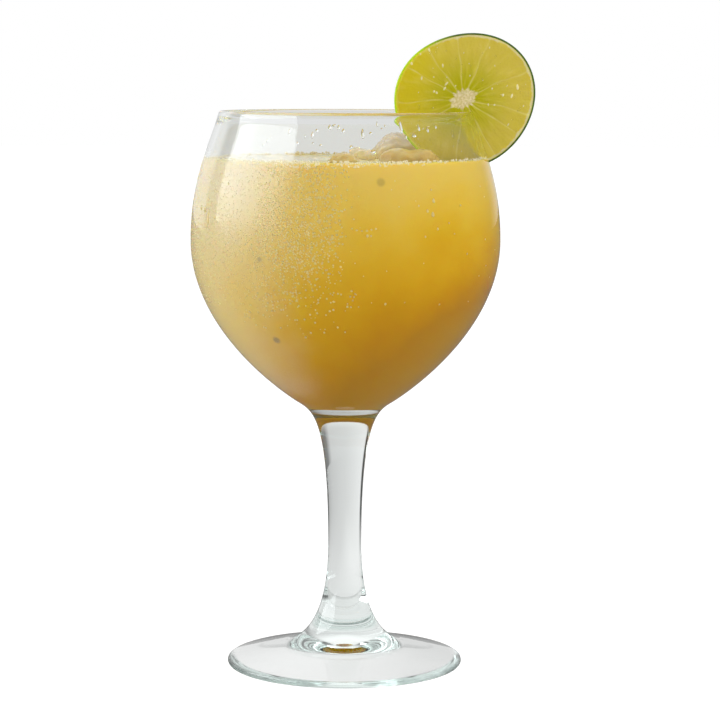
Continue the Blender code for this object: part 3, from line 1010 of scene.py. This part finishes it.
inner_side, outer_side = slit_side(LIME_SLIT_GAP, True), slit_side(-LIME_SLIT_GAP, False)
slit_outline = [*reversed(inner_side), *rim_round(LIME_SLIT_GAP), *outer_side]
slit = turned("lime_slit", [*slit_outline, slit_outline[0]], GOBLET_AROUND)
cutting = lime_wheel.modifiers.new("slit", "BOOLEAN")
cutting.operation = "DIFFERENCE"
cutting.solver = "MANIFOLD"
cutting.object = slit
slit_mesh = bpy.data.meshes.new_from_object(lime_wheel.evaluated_get(bpy.context.evaluated_depsgraph_get()))
lime_wheel.modifiers.clear()
lime_wheel.data = slit_mesh
bpy.data.objects.remove(slit)

zone_names = ("membrane", "core", "pith", "rind", "outward", "vesicle")
zone_values = {name: [] for name in zone_names}
for corner in slit_mesh.vertices:
    place = corner.co - LIME_CENTRE
    zones = lime_zones(place.x, place.z)
    for name in zone_names:
        zone_values[name].append(zones[name])
for name in zone_names:
    slit_mesh.attributes.new(name, "FLOAT", "POINT").data.foreach_set("value", zone_values[name])

# The lime's colours carry painted light from the side: the rind is painted lit on the left and in painted
# shade on the right, and the flesh and pith go from their left colour to their right one with it.
FLESH_NEAR_CORE = (0.43, 0.40, 0.002, 1.0)
FLESH_LEFT = (0.60, 0.50, 0.018, 1.0)
FLESH_RIGHT = (0.59, 0.48, 0.070, 1.0)
FLESH_PALE_STREAK = (0.68, 0.57, 0.120, 1.0)
MEMBRANE_COLOUR = (0.70, 0.62, 0.190, 1.0)
CORE_COLOUR = (0.76, 0.67, 0.420, 1.0)
CORE_SHADE = (0.62, 0.53, 0.260, 1.0)
PITH_LEFT = (0.62, 0.58, 0.060, 1.0)
PITH_RIGHT = (0.66, 0.64, 0.420, 1.0)
RIND_PAINTED_LIT = (0.40, 0.58, 0.006, 1.0)
RIND_PAINTED_SHADE = (0.035, 0.085, 0.006, 1.0)
PAINTED_LIGHT_LEFT_TO_RIGHT = (0.022, 0.040)
STREAK_START = 0.45
STREAK_STRENGTH = 0.45
MEMBRANE_STRENGTH = 0.62
PITH_STRENGTH = 0.7
FLESH_ROUGHNESS = 0.16
RIND_ROUGHNESS = 0.38
PULP_FINENESS = 1300.0


def lime_zone(name):
    reader = lime_nodes.new("ShaderNodeAttribute")
    reader.attribute_name = name
    return reader.outputs["Fac"]


def on_lime_where(name, low, high, start=0.0):
    return ramp_between(lime_nodes, lime_links, lime_zone(name), start, 1.0, low, high)


def lime_tinted(under, over, amount):
    return tinted(lime_nodes, lime_links, under, over, amount)


lime_face = lime_nodes["Principled BSDF"]
lime_place = place_from_axis(lime_nodes, lime_links)
lime_side = part_along(lime_nodes, lime_links, lime_place, "X")
# Painted side light: the share of each part's right colour, going from left to right across the wheel
painted_light_rightwards = ramp_between(lime_nodes, lime_links, lime_side, *PAINTED_LIGHT_LEFT_TO_RIGHT)
pulp = grain(lime_nodes, lime_links, lime_place, PULP_FINENESS, 3.0)
core_grain = ramp_between(lime_nodes, lime_links, pulp, 0.40, 0.62)
flesh_colour = lime_tinted(FLESH_LEFT, FLESH_RIGHT, painted_light_rightwards)
lime_colour = lime_tinted(FLESH_NEAR_CORE, flesh_colour, lime_zone("outward"))
pale_streaks = on_lime_where("vesicle", 0.0, STREAK_STRENGTH, STREAK_START)
lime_colour = lime_tinted(lime_colour, FLESH_PALE_STREAK, pale_streaks)
lime_colour = lime_tinted(lime_colour, MEMBRANE_COLOUR, on_lime_where("membrane", 0.0, MEMBRANE_STRENGTH))
pith_colour = lime_tinted(PITH_LEFT, PITH_RIGHT, painted_light_rightwards)
lime_colour = lime_tinted(lime_colour, pith_colour, on_lime_where("pith", 0.0, PITH_STRENGTH))
lime_colour = lime_tinted(lime_colour, lime_tinted(CORE_SHADE, CORE_COLOUR, core_grain), lime_zone("core"))
lime_colour = lime_tinted(lime_colour, lime_tinted(RIND_PAINTED_LIT, RIND_PAINTED_SHADE, painted_light_rightwards), lime_zone("rind"))
lime_links.new(lime_colour, lime_face.inputs["Base Color"])
lime_links.new(on_lime_where("rind", FLESH_ROUGHNESS, RIND_ROUGHNESS), lime_face.inputs["Roughness"])
pulp_height = combined(lime_nodes, lime_links, "ADD", pulp, lime_zone("vesicle"))
bumped(lime_nodes, lime_links, pulp_height, 0.35, 0.0004)
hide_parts("lime_slice")


# The condensation. Fine beads of water on the outside of the cold bowl, beside the drink and on its misted
# side, coarser towards the left. Each is a low dome that sits on the glass. Sides are along X from the axis.
DEW_SEED = 11
DEW_CELL = 0.00074
DEW_LOW = 0.118
DEW_FULL_FROM = 0.152
DEW_HIGH = 0.1772
DEW_SINK = 0.00003
DEW_SIDE = (-0.016, 0.006)
DEW_COARSE_SIDE = (-0.034, -0.026)
DEW_SIDE_WANDER = 0.008
DEW_COVER_FINE = 0.35
DEW_COVER_COARSE = 0.65
DEW_CHANCE = 0.90
DEW_SMALLEST = 0.00013
DEW_SPREAD_FINE = 0.00008
DEW_SPREAD_COARSE = 0.00020
DEW_BULGE = 0.55
DEW_LENGTH = 1.05

bowl_side = list(reversed(bowl_outside()))
bowl_heights = [point.y for point in bowl_side]


def add_dome(corners, faces, surface, half_width, half_length, bulge, sides, rings, taper=0.0):
    first = len(corners)
    for ring in range(rings):
        tilt = math.pi / 2 * ring / rings
        flat, lift = math.cos(tilt), bulge * math.sin(tilt) - (DEW_SINK if ring == 0 else 0.0)
        for step in range(sides):
            turn = math.tau * step / sides
            along = flat * math.sin(turn)
            across = flat * math.cos(turn) * (1 - taper * along)
            corners.append(surface(half_width * across, half_length * along, lift))
    corners.append(surface(0.0, 0.0, bulge))
    top = len(corners) - 1
    for step in range(sides):
        after = (step + 1) % sides
        for ring in range(rings - 1):
            row = first + ring * sides
            faces.append((row + step, row + after, row + sides + after, row + sides + step))
        row = first + (rings - 1) * sides
        faces.append((row + step, row + after, top))
    faces.append(tuple(first + step for step in reversed(range(sides))))


def on_wall(side, heights, turn, level, outwards):
    # The wall's outer face where outwards is 1, and its inner face where it is -1
    middle = radius_at(side, heights, level)

    def surface(across, along, lift):
        reach = radius_at(side, heights, level + along) + outwards * lift
        angle = turn + outwards * across / middle
        return (reach * math.cos(angle), reach * math.sin(angle), level + along)

    return surface


def on_bowl(turn, level):
    return on_wall(bowl_side, bowl_heights, turn, level, 1)


dew_rule = random.Random(DEW_SEED)
dew_corners, dew_faces = [], []
for row in range(int((DEW_HIGH - DEW_LOW) / DEW_CELL)):
    level = DEW_LOW + (row + 0.5) * DEW_CELL
    reach = radius_at(bowl_side, bowl_heights, level)
    row_cells = int(math.tau * reach / DEW_CELL)
    for cell in range(row_cells):
        turn = math.tau * (cell + 0.5 * (row % 2)) / row_cells
        spot = Vector((reach * math.cos(turn), reach * math.sin(turn), level))
        across = spot.x + DEW_SIDE_WANDER * noise.noise(spot * 60)
        coarse = step_up(across, *DEW_COARSE_SIDE)
        cover = (1.0 - step_up(across, *DEW_SIDE)) * (DEW_COVER_FINE + DEW_COVER_COARSE * coarse)
        cover *= step_up(level, DEW_LOW, DEW_FULL_FROM) * (0.85 + 0.5 * noise.noise(spot * 160))
        chance, size_draw, shift_draw, rise_draw = (dew_rule.random() for _ in range(4))
        if chance > DEW_CHANCE * cover:
            continue
        size = DEW_SMALLEST + (DEW_SPREAD_FINE + DEW_SPREAD_COARSE * coarse) * size_draw
        place = on_bowl(turn + (shift_draw - 0.5) * DEW_CELL / reach, level + (rise_draw - 0.5) * DEW_CELL)
        add_dome(dew_corners, dew_faces, place, size, size * DEW_LENGTH, DEW_BULGE * size, 6, 2)

WATER_SHADE = (0.97, 0.97, 0.97, 1.0)
# The beads are painted milky cream, partly as fine dew scatters light and partly as a painted highlight, so
# that each shows as a pale grain
milky_water_painted_highlight = bead_finish("condensation", (0.88, 0.74, 0.38, 1.0), 0.28, 1.33, 0.72, WATER_SHADE)
mesh_piece("condensation_beads", dew_corners, dew_faces, milky_water_painted_highlight)


# The drops and runs. Splashes of lemonade inside the bowl above the drink, and larger drops of water outside:
# a run and drops on its left shoulder, a few drops at its right, a row of small ones in front, and loose ones
# all round, which a rule places.
SPLASHES = (
    # Turn round the bowl in degrees from its front, height, half width and half length
    (-36.0, 0.1832, 0.00030, 0.0005), (-34.5, 0.1846, 0.00026, 0.0006), (-33.0, 0.1858, 0.00022, 0.0004),
    (-24.5, 0.1878, 0.00030, 0.0008), (-20.0, 0.1840, 0.00034, 0.0005), (-17.0, 0.1862, 0.00022, 0.0006),
    (-14.0, 0.1866, 0.00036, 0.0013), (-13.4, 0.1840, 0.00030, 0.0005), (-12.2, 0.1882, 0.00045, 0.0006),
    (-10.0, 0.1834, 0.00050, 0.0004), (-6.6, 0.1893, 0.00060, 0.0009), (-4.6, 0.1899, 0.00080, 0.0004),
    (-2.8, 0.1893, 0.00045, 0.0008), (-0.8, 0.1882, 0.00050, 0.0007), (2.5, 0.1830, 0.00060, 0.0005),
    (7.4, 0.1872, 0.00055, 0.0017), (10.8, 0.1874, 0.00050, 0.0005), (11.4, 0.1815, 0.00080, 0.0007),
    (14.0, 0.1904, 0.00030, 0.0009), (15.8, 0.1888, 0.00034, 0.0004), (17.4, 0.1897, 0.00028, 0.0005),
    (24.6, 0.1894, 0.00055, 0.0022), (26.4, 0.1862, 0.00040, 0.0009), (30.5, 0.1866, 0.00075, 0.0007),
    (33.5, 0.1890, 0.00040, 0.0012), (38.0, 0.1884, 0.00045, 0.0010), (43.0, 0.1893, 0.00035, 0.0008),
)
DROPS_OUTSIDE = (
    # The same for the left shoulder, the right and the front
    (-60.0, 0.1585, 0.00050, 0.0032), (-63.0, 0.1612, 0.00070, 0.0009), (-67.0, 0.1618, 0.00060, 0.0008),
    (-34.0, 0.1435, 0.00035, 0.0010), (34.0, 0.1655, 0.00050, 0.0008), (33.2, 0.1610, 0.00055, 0.0009),
    (31.0, 0.1622, 0.00040, 0.0006), (35.0, 0.1562, 0.00036, 0.0005), (27.5, 0.1640, 0.00030, 0.0004),
    (2.5, 0.1568, 0.00030, 0.0003), (4.2, 0.1562, 0.00040, 0.0003), (6.0, 0.1560, 0.00036, 0.0003),
    (7.8, 0.1561, 0.00042, 0.0003), (9.4, 0.1564, 0.00034, 0.0003), (11.0, 0.1567, 0.00040, 0.0003),
)
DROP_SEED = 23
DROP_BULGE = 0.5
DROP_TAPER = 0.3
LOOSE_DROPS = 110
LOOSE_DROP_HEIGHTS = (0.128, 0.174)
LOOSE_DROP_SMALLEST = 0.00016
LOOSE_DROP_SPREAD = 0.00030
LOOSE_DROP_LENGTH = 1.1

hollow_wall = [point for point in reversed(hollow_side(0.0)) if point.y > WALL_START]
hollow_heights = [point.y for point in hollow_wall]


def in_bowl(turn, level):
    return on_wall(hollow_wall, hollow_heights, turn, level, -1)


def placed_drops(rows, home):
    corners, faces = [], []
    for turn, level, half_width, half_length in rows:
        place = home(math.radians(turn - 90), level)
        add_dome(corners, faces, place, half_width, half_length, DROP_BULGE * half_width, 12, 4, DROP_TAPER)
    return corners, faces


drop_rule = random.Random(DROP_SEED)
drop_corners, drop_faces = placed_drops(DROPS_OUTSIDE, on_bowl)
for count in range(LOOSE_DROPS):
    turn, level = math.radians(drop_rule.uniform(-180, 180)), drop_rule.uniform(*LOOSE_DROP_HEIGHTS)
    size = LOOSE_DROP_SMALLEST + LOOSE_DROP_SPREAD * drop_rule.random() ** 3
    length = size * LOOSE_DROP_LENGTH
    add_dome(drop_corners, drop_faces, on_bowl(turn, level), size, length, DROP_BULGE * size, 10, 3)
water = bead_finish("water_beads", (1.0, 1.0, 1.0, 1.0), 0.0, 1.33, 1.0, WATER_SHADE)
mesh_piece("splashes_inside", *placed_drops(SPLASHES, in_bowl), water)
# The larger drops outside are painted milky cream like the beads, partly a painted highlight
mesh_piece("water_drops", drop_corners, drop_faces, milky_water_painted_highlight)


# The juice. Drops of juice that stand on both faces of the lime, most of them in front, and none where the
# wall of the glass stands in its slit. Every other one is painted pale cream, as a painted glint.
LIME_DROPS = 150
LIME_DROP_REACH = (0.05, 0.92)
LIME_DROP_SMALLEST = 0.00016
LIME_DROP_SPREAD = 0.00030
LIME_DROP_LENGTHS = (1.2, 2.8)
LIME_DROP_BULGE = 0.6
LIME_DROP_LEAN = math.radians(80)
LIME_DROP_SWAY = 0.6
LIME_DROP_SINK = 0.00012
CLEAR_OF_RIM = 0.002
CLEAR_INSIDE_WALL = 0.004


def on_lime(x, z, side, lean):
    def surface(across, along, lift):
        sideways = along * math.cos(lean) + side * across * math.sin(lean)
        upwards = along * math.sin(lean) - side * across * math.cos(lean)
        outwards = side * (lime_half - LIME_DROP_SINK + lift)
        return (LIME_CENTRE.x + x + sideways, outwards, LIME_CENTRE.z + z + upwards)

    return surface


juice_parts = [([], []), ([], [])]
for count in range(LIME_DROPS):
    turn, share = drop_rule.uniform(0, math.tau), math.sqrt(drop_rule.uniform(*LIME_DROP_REACH))
    reach = share * lime_reach(turn)
    x, z = reach * math.cos(turn), reach * math.sin(turn)
    side = -1 if count % 3 else 1
    size = LIME_DROP_SMALLEST + LIME_DROP_SPREAD * drop_rule.random() ** 2
    length = size * drop_rule.uniform(*LIME_DROP_LENGTHS)
    lean = LIME_DROP_LEAN + drop_rule.uniform(-LIME_DROP_SWAY, LIME_DROP_SWAY)
    level = LIME_CENTRE.z + z
    past_wall = LIME_CENTRE.x + x - radius_at(bowl_side, bowl_heights, min(level, RIM_HEIGHT - CLEAR_OF_RIM))
    if level < RIM_HEIGHT + CLEAR_OF_RIM and -CLEAR_INSIDE_WALL < past_wall < CLEAR_OF_RIM:
        continue
    bulge = LIME_DROP_BULGE * size
    add_dome(*juice_parts[count % 2], on_lime(x, z, side, lean), size, length, bulge, 10, 3)
# Every other drop is painted pale cream, a painted glint
painted_glint_juice = bead_finish("juice_painted_glints", (0.94, 0.86, 0.50, 1.0), 0.12, 1.34, 0.35, WATER_SHADE)
mesh_piece("juice_drops", *juice_parts[0], water)
mesh_piece("juice_painted_glints", *juice_parts[1], painted_glint_juice)
